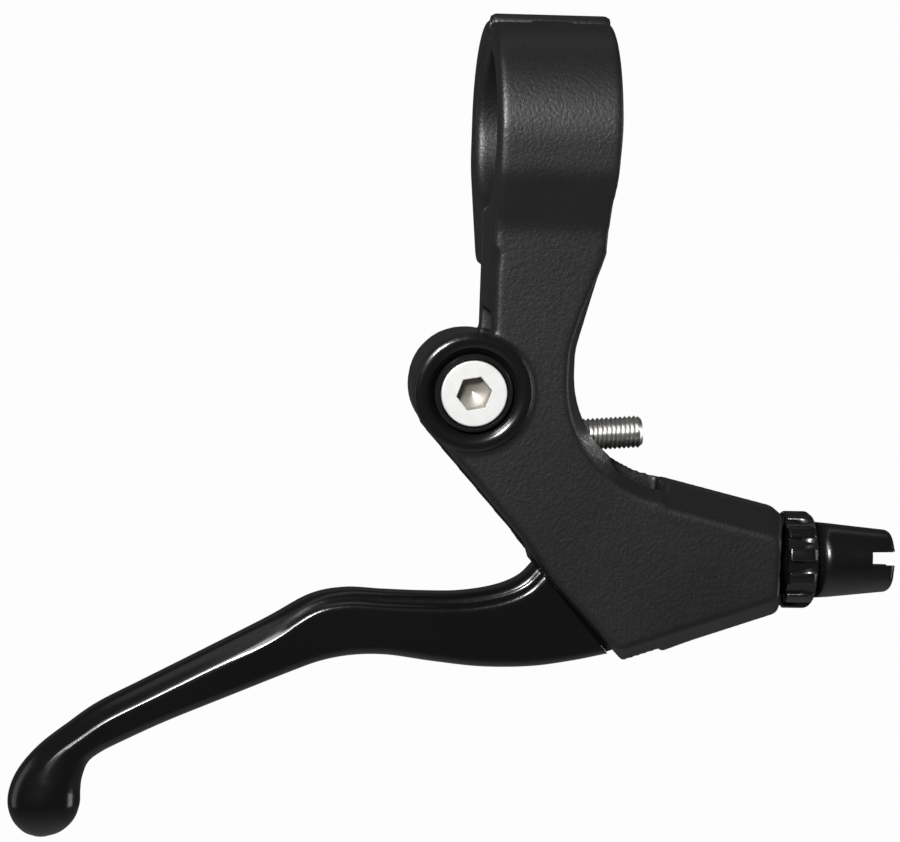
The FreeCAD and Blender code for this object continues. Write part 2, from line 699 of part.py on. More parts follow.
def make_blade():
    """The forged blade: hub and tongue between the cheeks, the finger blade and its ball end."""
    body = new_body("lever_blade", 0, middle, 0)
    thick = size("blade_thickness")
    tip_x = size("tip_x")
    tip_z = -size("tip_drop")
    ball = size("tip_radius")
    corners = [
        (-0.95, cable_z + 0.1, 0),
        (-0.95, cable_z - 2.0, 1.6),
        (-8.4, cable_z - 5.5, 22),
        (-29.65, cable_z - 5.1, 13),
        (-63.0, tip_z + 13.8, 15),
        (tip_x - 4.0, tip_z + 5.5, 4),
        (tip_x - ball + 0.3, tip_z, 0),
        (tip_x, tip_z - 1.5, 0),
        (tip_x + 4.9, tip_z, 0),
        (tip_x + 4.95, tip_z + 5.0, 4),
        (-27.2, cable_z - 13.0, 27),
        (-5.5, cable_z - 16.35, 45),
        (10.3, cable_z - 14.0, 0),
        (1.1, cable_z - 3.6, 0),
    ]
    bevel = size("blade_bevel")
    steps = [bevel, bevel, bevel, bevel, bevel, bevel, 0, 0, 0.5, bevel, bevel, bevel, 0.6, 0.3]
    half_flat = thick / 2 - bevel
    bevelled(body, "finger", corners, steps, steps, -half_flat, half_flat, -thick / 2, thick / 2)
    ball_section = sketch_on(body, "ball_section", "XZ_Plane", 0, tip_x, tip_z)
    draw_half_disc(ball_section, ball)
    revolve("PartDesign::Revolution", body, "ball", ball_section, "V_Axis")
    # hub and tongue
    tongue = sketch_on(body, "tongue_outline", "XZ_Plane")
    draw_outline(tongue, [
        (pivot_x, pivot_z, 0),
        (pivot_x + 7.4, pivot_z + 2.0, 0),
        (tongue_wall, pivot_z - 4.0, 2),
        (tongue_wall, -size("bridge_drop") - 0.6, 2),
        (size("slot_end") - 2.8, cable_z + 6.2, 4),
        (size("slot_end") - 2.0, cable_z - 11.1, 2),
        (10.0, cable_z - 13.2, 0),
        (1.1, cable_z - 3.9, 0),
        (-0.95, cable_z - 0.7, 0),
        (-2.2, cable_z + 3.1, 5),
        (pivot_x - 5.4, pivot_z - 4.9, 0),
    ])
    pad(body, "tongue", tongue, size("tongue_thickness"), True)
    half_tongue = size("tongue_thickness") / 2
    disc(body, "hub", size("hub_radius"), -half_tongue, half_tongue, pivot_x, pivot_z)
    round_hole(body, "hub_bore", size("bushing_radius"), -half_tongue - 1, half_tongue + 1,
               pivot_x, pivot_z)
    # the cable anchor's hole, and the kerf that the cable swings in
    round_hole(body, "anchor_hole", size("anchor_radius") + size("anchor_clearance"),
               -half_tongue - 1, half_tongue + 1, size("anchor_x"), cable_z)
    kerf = sketch_on(body, "cable_kerf_outline", "XZ_Plane")
    draw_outline(kerf, [
        (size("anchor_x"), cable_z - 1.5, 0),
        (size("slot_end"), cable_z - 1.5, 0),
        (size("slot_end"), cable_z + 12.5, 0),
        (size("anchor_x") + 2.5, cable_z + 12.5, 0),
        (size("anchor_x") - 1.5, cable_z, 0),
    ])
    pocket(body, "cable_kerf", kerf, size("cable_radius") * 2 + 0.6, True)
    return body


def draw_half_disc(sketch, radius):
    """Half a disc on the +across side of the sketch's up axis."""
    arc = sketch.addGeometry(Part.ArcOfCircle(Part.Circle(Vector(0, 0, 0), Vector(0, 0, 1),
                             radius.number), -math.pi / 2, math.pi / 2), False)
    line = sketch.addGeometry(Part.LineSegment(Vector(0, radius.number, 0),
                              Vector(0, -radius.number, 0)), False)
    sketch.addConstraint(Sketcher.Constraint("Coincident", arc, 3, -1, 1))
    sketch.addConstraint(Sketcher.Constraint("Coincident", arc, 2, line, 1))
    sketch.addConstraint(Sketcher.Constraint("Coincident", line, 2, arc, 1))
    sketch.addConstraint(Sketcher.Constraint("Vertical", line))
    index = sketch.addConstraint(Sketcher.Constraint("Radius", arc, radius.number))
    sketch.setExpression("Constraints[%d]" % index, radius.words)


def make_bushing(label, side):
    """A flanged plain bush; side -1 is the front one, 1 the rear one."""
    body = new_body(label, pivot_x, middle, pivot_z)
    half_hub = size("tongue_thickness") / 2
    flange = size("bushing_flange")
    inner, outer = half_hub, half_hub + flange
    if side < 0:
        disc(body, "flange", size("bushing_flange_radius"), -outer, -inner)
        disc(body, "sleeve", size("bushing_radius"), -inner, -0.2)
    else:
        disc(body, "flange", size("bushing_flange_radius"), inner, outer)
        disc(body, "sleeve", size("bushing_radius"), 0.2, inner)
    round_hole(body, "bore", size("pivot_shank_radius") + size("pivot_clearance"),
               -outer - 1, outer + 1)
    return body


def make_pivot_bolt():
    """The pivot: a low round head in front, a plain shank, and the end that the nut takes."""
    body = new_body("pivot_bolt", pivot_x, boss_front + size("cup_height"), pivot_z)
    head = size("pivot_head_height")
    end = size("nut_height") - boss_front - size("cup_height")
    disc(body, "head", size("pivot_head_radius"), -head, 0)
    disc(body, "shank", size("pivot_shank_radius"), 0, end)
    finish_edges("PartDesign::Chamfer", body, "head_edge", 0.25, lambda edge: (
        is_round(edge, size("pivot_head_radius")) and lies_at(edge, "y", -head)))
    socket = sketch_on(body, "socket_outline", "XZ_Plane", head)
    hexagon(socket, size("pivot_socket"))
    pocket(body, "socket", socket, size("pivot_socket_depth"))
    tip = sketch_on(body, "socket_tip_section", "XY_Plane")
    depth = -head + size("pivot_socket_depth")
    draw_outline(tip, [
        (0, depth - 0.1, 0),
        (size("pivot_socket") / 2 - 0.1, depth - 0.1, 0),
        (size("pivot_socket") / 2 - 0.1, depth, 0),
        (0, depth + 1.0, 0),
    ])
    revolve("PartDesign::Groove", body, "socket_tip", tip, "V_Axis")
    return body


def make_cup():
    """The ring that the pivot head sits in."""
    body = new_body("pivot_cup", pivot_x, boss_front + size("cup_height"), pivot_z)
    disc(body, "ring", size("cup_radius"), -size("cup_height") - 0.1, 0)
    round_hole(body, "hole", size("cup_radius") - size("cup_wall"), -size("cup_height") - 1, 1)
    finish_edges("PartDesign::Chamfer", body, "rim_edge", 0.2, lambda edge: (
        lies_at(edge, "y", -size("cup_height") - 0.1)))
    return body


def make_nut():
    body = new_body("pivot_nut", pivot_x, 0, pivot_z)
    sketch = sketch_on(body, "hexagon_outline", "XZ_Plane", -size("nut_height"))
    hexagon(sketch, size("nut_radius") * 2)
    pad(body, "hexagon", sketch, size("nut_height"))
    round_hole(body, "thread", size("pivot_shank_radius"), -1, size("nut_height") + 1)
    return body


def make_anchor():
    """The round anchor that holds the cable's end and turns in the blade."""
    body = new_body("cable_anchor", size("anchor_x"), middle, cable_z)
    half = size("tongue_thickness") / 2
    disc(body, "barrel", size("anchor_radius"), -half, half)
    reach = size("anchor_radius") + 1
    bore_along(body, "cable_hole", size("cable_radius"), -reach, reach)
    bore_along(body, "nipple_pocket", size("cable_radius") * 2, -reach, -size("anchor_radius") / 4)
    return body


def make_barrel():
    """The adjusting barrel: thread, waist, tapered nose, housing socket and cable slit."""
    body = new_body("adjuster_barrel", size("nose_end"), middle, cable_z)
    body.Placement = FreeCAD.Placement(
        body.Placement.Base, FreeCAD.Rotation(Vector(-1, 0, 0), size("barrel_turn").number))
    bind(body, "Placement.Rotation.Angle", size("barrel_turn"))
    base = size("lockring_gap") + size("lockring_width") + size("adjuster_clearance")
    end = base + size("barrel_length") - size("adjuster_clearance")
    section = sketch_on(body, "section", "XZ_Plane")
    draw_outline(section, [
        (-size("adjuster_reach"), 0, 0),
        (-size("adjuster_reach"), size("adjuster_thread_radius"), 0),
        (base, size("adjuster_thread_radius"), 0),
        (base, size("barrel_base_radius"), 0),
        (end, size("barrel_nose_radius") - 0.1, size("barrel_tip_round")),
        (end, 0, 0),
    ])
    revolve("PartDesign::Revolution", body, "turned", section, "H_Axis")
    bore_along(body, "housing_socket", size("housing_radius"), end - size("housing_depth"), end + 1)
    bore_along(body, "cable_hole", size("cable_radius") * 1.4, -size("adjuster_reach") - 1, end + 1)
    slit = sketch_on(body, "slit_outline", "XZ_Plane")
    half_slit = size("cable_slit") / 2
    draw_outline(slit, [
        (-size("adjuster_reach") - 1, -half_slit, 0),
        (end + 1, -half_slit, 0),
        (end + 1, half_slit, 0),
        (-size("adjuster_reach") - 1, half_slit, 0),
    ])
    pocket(body, "cable_slit", slit, size("barrel_base_radius") + 1)
    tip_slot = sketch_on(body, "tip_slot_outline", "XZ_Plane")
    half_slot = size("barrel_slot_width") / 2
    draw_outline(tip_slot, [
        (end - size("barrel_slot_depth"), -half_slot, 0),
        (end + 1, -half_slot, 0),
        (end + 1, half_slot, 0),
        (end - size("barrel_slot_depth"), half_slot, 0),
    ])
    pocket(body, "tip_slot", tip_slot, size("barrel_base_radius") * 3, True)
    return body


def make_lockring():
    """The toothed ring that locks the barrel against the nose."""
    body = new_body("adjuster_lockring", size("nose_end") + size("lockring_gap"), middle, cable_z)
    width = size("lockring_width")
    root = size("lockring_radius") - size("lockring_tooth_rise")
    section = sketch_on(body, "section", "XZ_Plane")
    inner = size("adjuster_thread_radius") + size("adjuster_clearance")
    draw_outline(section, [
        (0, inner, 0),
        (0, size("lockring_radius"), 0.5),
        (width, size("lockring_radius"), 1.7),
        (width, inner, 0),
    ])
    revolve("PartDesign::Revolution", body, "turned", section, "H_Axis")
    tooth_angle = math.pi / size("lockring_teeth").number
    groove = sketch_on(body, "groove_outline", "YZ_Plane", -0.5)
    half_groove = size("lockring_radius") * math.sin(tooth_angle * 0.5)
    draw_outline(groove, [
        (-half_groove, root, 0),
        (half_groove, root, 0),
        (half_groove, size("lockring_radius") + 1, 0),
        (-half_groove, size("lockring_radius") + 1, 0),
    ])
    first = body.newObject("PartDesign::Pocket", "adjuster_lockring_groove")
    first.Profile = groove
    first.Reversed = True
    bind(first, "Length", width + 1)
    doc.recompute()
    pattern = body.newObject("PartDesign::PolarPattern", "adjuster_lockring_grooves")
    pattern.Originals = [first]
    axis = [item for item in body.Origin.OriginFeatures if item.Role == "X_Axis"][0]
    pattern.Axis = (axis, [""])
    pattern.Angle = 360
    bind(pattern, "Occurrences", size("lockring_teeth"))
    body.Tip = pattern
    doc.recompute()
    return body


def make_reach_screw():
    """The grub screw whose inner end stops the blade."""
    body = new_body("reach_screw", size("reach_screw_end_x"), middle, -size("reach_screw_end_drop"))
    body.Placement = FreeCAD.Placement(
        body.Placement.Base, FreeCAD.Rotation(Vector(0, -1, 0), size("reach_screw_tilt").number))
    bind(body, "Placement.Rotation.Angle", size("reach_screw_tilt"))
    chamfer = size("reach_screw_chamfer")
    radius = size("reach_screw_radius")
    length = size("reach_screw_length")
    section = sketch_on(body, "section", "XZ_Plane")
    draw_outline(section, [
        (-length, 0, 0),
        (-length, radius - chamfer, 0),
        (-length + chamfer, radius, 0),
        (-chamfer, radius, 0),
        (0, radius - chamfer, 0),
        (0, 0, 0),
    ])
    revolve("PartDesign::Revolution", body, "turned", section, "H_Axis")
    socket = sketch_on(body, "socket_outline", "YZ_Plane")
    hexagon(socket, size("reach_screw_socket"))
    pocket(body, "socket", socket, size("reach_screw_socket"))
    return body


pieces = [
    make_body(),
    make_cap(),
    make_hinge_pin(),
    make_clamp_bolt(),
    make_washer(),
    make_blade(),
    make_bushing("blade_bushing_front", -1),
    make_bushing("blade_bushing_rear", 1),
    make_pivot_bolt(),
    make_cup(),
    make_nut(),
    make_anchor(),
    make_barrel(),
    make_lockring(),
    make_reach_screw(),
]
doc.recompute()
for item in doc.Objects:
    if "Invalid" in item.State or "Error" in item.State:
        raise RuntimeError(item.Label + " did not build: " + str(item.State))
os.makedirs("parts", exist_ok=True)
for piece in pieces:
    shape = piece.Shape
    if shape.isNull() or not shape.isValid() or len(shape.Solids) != 1:
        raise RuntimeError(piece.Label + " is not one sound solid")
    shape.exportStep(os.path.join("parts", piece.Label + ".step"))
    print("%-20s %9.1f mm3 %4d faces" % (piece.Label, shape.Volume, len(shape.Faces)))
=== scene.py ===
import json
import math

import bmesh
import bpy
import numpy as np
from mathutils import Matrix, Vector


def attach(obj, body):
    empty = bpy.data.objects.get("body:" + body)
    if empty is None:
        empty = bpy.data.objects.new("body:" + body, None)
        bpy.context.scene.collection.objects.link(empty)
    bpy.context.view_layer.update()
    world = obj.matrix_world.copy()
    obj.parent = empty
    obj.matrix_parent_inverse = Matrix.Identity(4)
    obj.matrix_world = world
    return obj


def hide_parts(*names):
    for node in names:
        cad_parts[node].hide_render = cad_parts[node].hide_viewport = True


# A bicycle brake lever as it sits on the bar: a forged aluminium body with a hinged clamp, a blade
# on a pivot, and the cable's adjuster in its nose. The solids come packed, in metres, with the
# centre of the bar's bore as origin, +X along the bar, +Z up and the body's face towards -Y.
# Sizes of the pieces are in millimetres here, and those of finishes, lamps and camera in metres.
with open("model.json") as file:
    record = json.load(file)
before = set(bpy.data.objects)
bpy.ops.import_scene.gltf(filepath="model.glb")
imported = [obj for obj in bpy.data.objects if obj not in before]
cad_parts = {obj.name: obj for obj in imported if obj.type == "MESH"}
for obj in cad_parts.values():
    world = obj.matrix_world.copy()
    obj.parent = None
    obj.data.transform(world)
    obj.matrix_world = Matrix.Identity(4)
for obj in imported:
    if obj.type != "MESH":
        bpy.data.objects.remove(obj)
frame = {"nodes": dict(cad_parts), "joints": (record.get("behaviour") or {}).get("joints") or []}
nodes = frame["nodes"]
joints = {joint["name"]: joint for joint in frame["joints"]}
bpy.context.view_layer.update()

# Body: an aluminium forging with the front half of the bar clamp, a bevelled neck, two cheeks for
# the blade and a nose for the adjuster. It is painted black, with a fine grain, and only the boss
# round the pivot is turned smooth.
PER_METRE = 1000
PIVOT_X, MIDDLE_Y, PIVOT_Z = (PER_METRE * c for c in joints["blade_pivot"]["pos_m"])
SAME_POINT = 1e-6
SKIN_SQUARE = 0.00033
EDGE_ROUNDS = 5
BODY_FACE = -13.8
BEVEL_BACK = -9.9
BEVEL_TOP = 3.4
BEVEL_BOTTOM = 2.8
REAR_SLOT_FACE = -3.9
BAND_FOOT = -16.0
NECK_FOOT = -27.0
CLAMP_HEIGHTS = (NECK_FOOT, -21, -18.5, BAND_FOOT, -11.3, -8, -4, 0, 3)
CLAMP_REACHES = (4.9, 6.45, 7.0, 7.4, 7.8, 8.05, 8.35, 8.62, 8.8)
HOLLOW_X, HOLLOW_Z = 19.4, -33.8
NOSE_LOWER_EDGE = (12.3, -75.7)
NOSE_LOWER_OUT = (0.321, -0.947)
CHEEK_LEFT_EDGE = (-17.5, -41.9)
CHEEK_LEFT_OUT = (-0.747, -0.665)


class Socket:
    """One output of a node. Sums and products of sockets make the Math nodes that work them out."""

    def __init__(self, finish, output):
        self.finish = finish
        self.output = output

    def math(self, operation, *values):
        return self.finish.node("ShaderNodeMath", {"operation": operation}, dict(enumerate(values)))

    def __add__(self, other):
        return self.math("ADD", self, other)

    def __radd__(self, other):
        return self.math("ADD", other, self)

    def __sub__(self, other):
        return self.math("SUBTRACT", self, other)

    def __rsub__(self, other):
        return self.math("SUBTRACT", other, self)

    def __mul__(self, other):
        return self.math("MULTIPLY", self, other)

    def __rmul__(self, other):
        return self.math("MULTIPLY", other, self)

    def above(self, low, high):
        """0 below low, 1 above high, and even between them."""
        return self.finish.node("ShaderNodeMapRange", {"clamp": True},
                                {"Value": self, "From Min": low, "From Max": high})


class Finish:
    """A surface finish: a node tree and one method that adds nodes to it."""

    def __init__(self, name, owner=None):
        self.material = owner or bpy.data.materials.new(name)
        self.material.use_nodes = True
        self.tree = self.material.node_tree
        self.tree.nodes.clear()

    def node(self, kind, settings=None, inputs=None, output=0):
        """Makes a node, sets its settings first and its inputs after, and hands back one output."""
        made = self.tree.nodes.new(kind)
        for key, value in (settings or {}).items():
            setattr(made, key, value)
        for key, value in (inputs or {}).items():
            if isinstance(value, Socket):
                self.tree.links.new(value.output, made.inputs[key])
            else:
                made.inputs[key].default_value = value
        return Socket(self, made.outputs[output])

    def close(self, shader, kind="ShaderNodeOutputMaterial"):
        end = self.tree.nodes.new(kind)
        self.tree.links.new(shader.output, end.inputs["Surface"])
        return self.material


def painted(name, color, roughness, grain, depth, boss=None):
    """Black paint on a forging: fine grain, and a slow change of its gloss.

    The roughness is its mean, plus 0.12 times a slow noise and 0.1 times the grain, both about
    zero. Within the boss's radius of the pivot's axis the turned metal is smooth, at 0.2.
    """
    paint = Finish(name)
    place = paint.node("ShaderNodeTexCoord", output="Object")
    fine = paint.node("ShaderNodeTexNoise", inputs={
        "Vector": place, "Scale": 1 / grain, "Detail": 2.0, "Roughness": 0.6})
    slow = paint.node("ShaderNodeTexNoise", inputs={"Vector": place, "Scale": 60.0, "Detail": 2.0})
    gloss = roughness + 0.12 * (slow - 0.5) + 0.1 * (fine - 0.5)
    height = fine
    if boss:
        axis = (PIVOT_X / PER_METRE, 0.0, PIVOT_Z / PER_METRE)
        spot = paint.node("ShaderNodeVectorMath", {"operation": "SUBTRACT"}, {0: place, 1: axis})
        flat = paint.node("ShaderNodeVectorMath", {"operation": "MULTIPLY"}, {0: spot, 1: (1.0, 0.0, 1.0)})
        away = paint.node("ShaderNodeVectorMath", {"operation": "LENGTH"}, {0: flat}, "Value")
        grained = away.above(boss, boss + 0.0004)
        gloss = 0.2 + grained * (gloss - 0.2)
        height = fine * grained
    bump = paint.node("ShaderNodeBump", inputs={"Strength": 1.0, "Distance": depth, "Height": height})
    shade = paint.node("ShaderNodeBsdfPrincipled", inputs={
        "Base Color": color,
        "Roughness": gloss,
        "Normal": bump,
    })
    return paint.close(shade)


def welded(name, node):
    """A copy of a solid whose loose triangles are joined, which later steps reshape."""
    mesh = node.data.copy()
    loose = bmesh.new()
    loose.from_mesh(mesh)
    bmesh.ops.remove_doubles(loose, verts=loose.verts, dist=SAME_POINT)
    loose.to_mesh(mesh)
    loose.free()
    made = bpy.data.objects.new(name, mesh)
    bpy.context.scene.collection.objects.link(made)
    return made


def even_skinned(name, node):
    """A copy of a solid with a skin of even small squares, fine enough to reshape and round it."""
    made = welded(name, node)
    even = made.modifiers.new("skin", "REMESH")
    even.mode = "VOXEL"
    even.voxel_size = SKIN_SQUARE
    even.use_smooth_shade = True
    ready = made.evaluated_get(bpy.context.evaluated_depsgraph_get())
    coarse = made.data
    made.data = bpy.data.meshes.new_from_object(ready)
    made.modifiers.clear()
    bpy.data.meshes.remove(coarse)
    return made


def fitted(piece, body, finish):
    """Gives a piece its finish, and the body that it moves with."""
    piece.data.materials.clear()
    piece.data.materials.append(finish)
    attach(piece, body)


def points_of(piece):
    """The piece's points in millimetres, as an array (points, 3)."""
    flat = np.empty(len(piece.data.vertices) * 3)
    piece.data.vertices.foreach_get("co", flat)
    return flat.reshape(-1, 3) * PER_METRE


def move_points(piece, points):
    piece.data.vertices.foreach_set("co", (points / PER_METRE).ravel())
    piece.data.update()


def round_edges(piece):
    """Rounds the edges evenly, as forging and paint do."""
    smooth = piece.modifiers.new("smooth", "CORRECTIVE_SMOOTH")
    smooth.factor = 0.5
    smooth.iterations = EDGE_ROUNDS
    smooth.use_only_smooth = True


def ease(value, start, end):
    """0 at start, 1 at end, and 3 t^2 - 2 t^3 between them. The end may be the lower one."""
    t = np.clip((value - start) / (end - start), 0, 1)
    return t * t * (3 - 2 * t)


def beyond(x, z, edge, outward):
    """How far points lie outside a straight edge: their offset from it, times its outward direction."""
    return (x - edge[0]) * outward[0] + (z - edge[1]) * outward[1]


def bevel_share(y):
    """0 at the back of the front bevels, 1 at the body's face, and even between them."""
    return np.clip((BEVEL_BACK - y) / (BEVEL_BACK - BODY_FACE), 0, 1)


def clamp_right(z):
    """How far the clamp reaches to the right at a height, along straight lines between heights."""
    return np.interp(z, CLAMP_HEIGHTS, CLAMP_REACHES)


def run_band_into_neck(x, y, z):
    """The right edge has no step under the band: the bevel's edge moves out by 1.07 mm there, and by
    less and less down to the neck's foot. The clamp's reach then limits the whole edge.
    """
    neck_edge = 7.15 + 0.2667 * (z + 18.5) - 1.55 * bevel_share(y)
    near_edge = ease(x - neck_edge, -2.5, -0.2)
    x = x + 1.07 * bevel_share(y) * ease(z, NECK_FOOT, BAND_FOOT) * (z < BAND_FOOT + 0.1) * near_edge
    return np.where(z > NECK_FOOT, np.minimum(x, clamp_right(z)), x)


def fill_lower_edge(x, y, z):
    """The front cheek's bevel keeps its width along the nose's lower edge, past the blade's slot:
    points move outwards by up to 0.4 mm, and by none at the face and behind the bevel.
    """
    fuller = np.minimum(0.4 * np.clip((y - BODY_FACE) / BEVEL_BOTTOM, 0, 1), BEVEL_BOTTOM * bevel_share(y))
    fuller = fuller * ease(beyond(x, z, NOSE_LOWER_EDGE, NOSE_LOWER_OUT), -2.5, -0.9)
    fuller = fuller * ease(x, 24.0, 17.6) * ease(x, 8.0, 10.0)
    return x + NOSE_LOWER_OUT[0] * fuller, z + NOSE_LOWER_OUT[1] * fuller


def fill_left_cheek(x, y, z):
    """The rear cheek's left edge, between boss and toe, moves outwards by 0.34 mm."""
    wider = 0.34 * ease(beyond(x, z, CHEEK_LEFT_EDGE, CHEEK_LEFT_OUT), -3.0, -0.5)
    wider = wider * ease(y, -5.5, REAR_SLOT_FACE) * ease(z, -62, -58) * ease(z, -38, -42)
    return x + CHEEK_LEFT_OUT[0] * wider, z + CHEEK_LEFT_OUT[1] * wider


def raise_hollow_edge(x, y, z):
    """The rear cheek's edge round the reach screw's hollow rises by up to 0.96 mm, straight towards
    the hollow's centre, and by none at the slot and at the bevel's back.
    """
    away = np.hypot(x - HOLLOW_X, z - HOLLOW_Z)
    higher = np.minimum(0.96 * np.clip(-y / BEVEL_BOTTOM, 0, 1),
                        BEVEL_TOP * np.clip((y - REAR_SLOT_FACE) / -REAR_SLOT_FACE, 0, 1))
    higher = higher * ease(away, 18.5, 16.2) * ease(x, 8.0, 11.0) * ease(x, 19.0, 17.4)
    return x + higher * (HOLLOW_X - x) / away, z - higher * (z - HOLLOW_Z) / away


def fill_neck_left(x, z):
    """The neck's left edge, between band and boss, moves outwards by 0.2 mm."""
    return x - 0.2 * ease(x, -6.0, -8.5) * ease(z, -17.5, -19.5) * ease(z, -29.5, -28.5) * (x > -9.5)


body_paint = painted("body_paint", (0.0035, 0.0035, 0.0036, 1), 0.45, 0.0005, 0.00006, 0.0081)
forging = even_skinned("forged_body", nodes["lever_body"])
fitted(forging, "body", body_paint)
x, y, z = points_of(forging).T
x = run_band_into_neck(x, y, z)
x, z = fill_lower_edge(x, y, z)
x, z = fill_left_cheek(x, y, z)
x, z = raise_hollow_edge(x, y, z)
x = fill_neck_left(x, z)
move_points(forging, np.stack([x, y, z], -1))
round_edges(forging)
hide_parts("lever_body")

# Clamp: the rear half swings on a pin at the top, whose knuckles make a round bead across the
# clamp, and a steel cap screw with a washer draws it to the body from behind.
HINGE_Z = 14.9
BEAD_ENDS = np.array([(8.5, 0.7), (8.45, 1.0), (8.3, 1.25), (8.05, 1.42), (7.7, 1.48)])


def directions(count):
    """Angles spread evenly over a full turn, in radians."""
    return np.linspace(0, 2 * math.pi, count + 1)[:-1]


def skin(name, rings, body, finish):
    """A closed skin over rings of points, an array (rings, points, 3), in metres: a quad between
    each pair of neighbours, and one face across each end ring.
    """
    count, size = rings.shape[:2]
    index = np.arange(count * size).reshape(count, size)
    right = np.roll(index, -1, axis=1)
    quads = np.stack([index[:-1], right[:-1], right[1:], index[1:]], axis=-1).reshape(-1, 4)
    ends = [index[0, ::-1].tolist(), index[-1].tolist()]
    mesh = bpy.data.meshes.new(name)
    mesh.from_pydata(rings.reshape(-1, 3).tolist(), [], quads.tolist() + ends)
    mesh.shade_smooth()
    made = bpy.data.objects.new(name, mesh)
    bpy.context.scene.collection.objects.link(made)
    fitted(made, body, finish)
    return made


def metal(name, color, roughness, metallic=1.0, hollow=None):
    """Bare or plated metal with fine marks of its turning.

    The roughness is its mean plus 0.1 times a noise about zero. Past the depth hollow, along Y,
    the colour is darker and warmer: painted shade in the socket's recess.
    """
    finish = Finish(name)
    place = finish.node("ShaderNodeTexCoord", output="Object")
    fine = finish.node("ShaderNodeTexNoise", inputs={"Vector": place, "Scale": 900.0, "Detail": 3.0})
    tint = color
    if hollow is not None:
        depth = finish.node("ShaderNodeSeparateXYZ", inputs={0: place}, output=1)
        painted_socket_shade = depth.above(hollow, hollow + 0.0001)
        tint = finish.node("ShaderNodeMix", {"data_type": "RGBA"}, {
            0: painted_socket_shade, 6: color, 7: (0.30, 0.28, 0.25, 1)}, 2)
    shade = finish.node("ShaderNodeBsdfPrincipled", inputs={
        "Base Color": tint,
        "Roughness": roughness + 0.1 * (fine - 0.5),
        "Metallic": metallic,
    })
    return finish.close(shade)


def refinish(name, finish):
    """Gives a solid that is shown as it came its finish."""
    nodes[name].data.materials.clear()
    nodes[name].data.materials.append(finish)


cap = even_skinned("forged_cap", nodes["clamp_cap"])
fitted(cap, "body", body_paint)
x, y, z = points_of(cap).T
move_points(cap, np.stack([np.minimum(x, clamp_right(z)), y, z], -1))
round_edges(cap)
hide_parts("clamp_cap")

at, radius = np.concatenate([BEAD_ENDS * (-1, 1), BEAD_ENDS[::-1]]).T[:, :, None]
angle = directions(96)[::-1]
bead_rings = np.stack([at + 0 * angle, radius * np.cos(angle), HINGE_Z + radius * np.sin(angle)], -1)
skin("hinge_bead", bead_rings / PER_METRE, "body", body_paint)

steel = metal("steel", (0.62, 0.61, 0.59, 1), 0.3)
for name in ("clamp_bolt", "clamp_bolt_washer", "clamp_hinge_pin"):
    refinish(name, steel)

# Blade: a forging painted glossy black. A rail runs along its upper edge with a step below it, which
# fades towards the tip, and the tip is a thick ball against slipping fingers. Its root, between the
# body's cheeks, turns on two flanged bushes.
RAIL_ROUND = 0.9
STEP_FOOT = 2.0
SHOULDER = 2.7
LOWER_ROUND = 1.2
LOWER_MIDDLE = 0.4
LOWER_INSET = 0.5
LOWER_FLAT_INSET = 1.7
RING_COUNT = 300
FULL_SPREAD_X = (-30.0, -42.0)
ROOT_CUT = (-0.00095, 0, -0.0614)
ROOT_CUT_OUT = (-0.752, 0, -0.659)

# Stations from the body to the tip: the upper edge's X and Z, the lower edge's X and Z, the
# thickness above and below, the rail's flat half width, the step's depth, and how far the section
# is rounded to an ellipse.
FINGER = [
    (-0.50, -61.60, 10.40, -74.40, 8.0, 8.0, 1.7, 1.2, 0.0),
    (-2.60, -63.70, 5.00, -75.55, 8.0, 8.0, 1.7, 1.2, 0.0),
    (-6.00, -65.15, -1.00, -76.40, 8.0, 8.0, 1.7, 1.2, 0.0),
    (-11.0, -66.00, -8.00, -76.50, 8.0, 8.0, 1.7, 1.2, 0.0),
    (-16.5, -66.10, -15.0, -75.80, 8.0, 8.0, 1.7, 1.1, 0.0),
    (-22.0, -65.95, -21.5, -74.95, 8.0, 8.0, 1.7, 1.0, 0.0),
    (-27.6, -65.75, -26.5, -75.05, 8.0, 8.0, 1.7, 0.9, 0.0),
    (-32.6, -66.85, -31.0, -75.95, 8.0, 8.0, 1.7, 0.8, 0.0),
    (-38.5, -70.20, -35.6, -77.70, 8.0, 8.0, 1.6, 0.5, 0.0),
    (-47.0, -74.70, -43.6, -81.05, 8.0, 8.0, 1.5, 0.2, 0.0),
    (-56.0, -79.40, -52.6, -84.90, 8.0, 8.0, 1.4, 0.1, 0.1),
    (-62.5, -82.85, -58.8, -87.90, 8.2, 8.0, 1.4, 0.0, 0.2),
    (-66.7, -85.90, -61.9, -89.60, 8.5, 8.2, 1.4, 0.0, 0.4),
    (-70.3, -88.75, -63.6, -91.10, 8.8, 8.8, 1.4, 0.0, 0.6),
    (-72.9, -91.60, -64.4, -93.40, 9.2, 9.8, 1.4, 0.0, 0.8),
    (-74.4, -94.30, -64.6, -95.30, 9.8, 10.5, 1.4, 0.0, 1.0),
    (-74.95, -97.2, -64.65, -97.4, 10.3, 10.5, 1.4, 0.0, 1.0),
    (-74.3, -99.7, -65.4, -99.55, 9.0, 9.0, 1.4, 0.0, 1.0),
    (-72.8, -101.4, -67.0, -101.2, 6.2, 6.2, 1.4, 0.0, 1.0),
    (-71.2, -102.1, -68.9, -102.0, 2.6, 2.6, 1.4, 0.0, 1.0),
]
SIDE_POINTS = (6, 4, 6, 5, 20, 5, 4, 6)


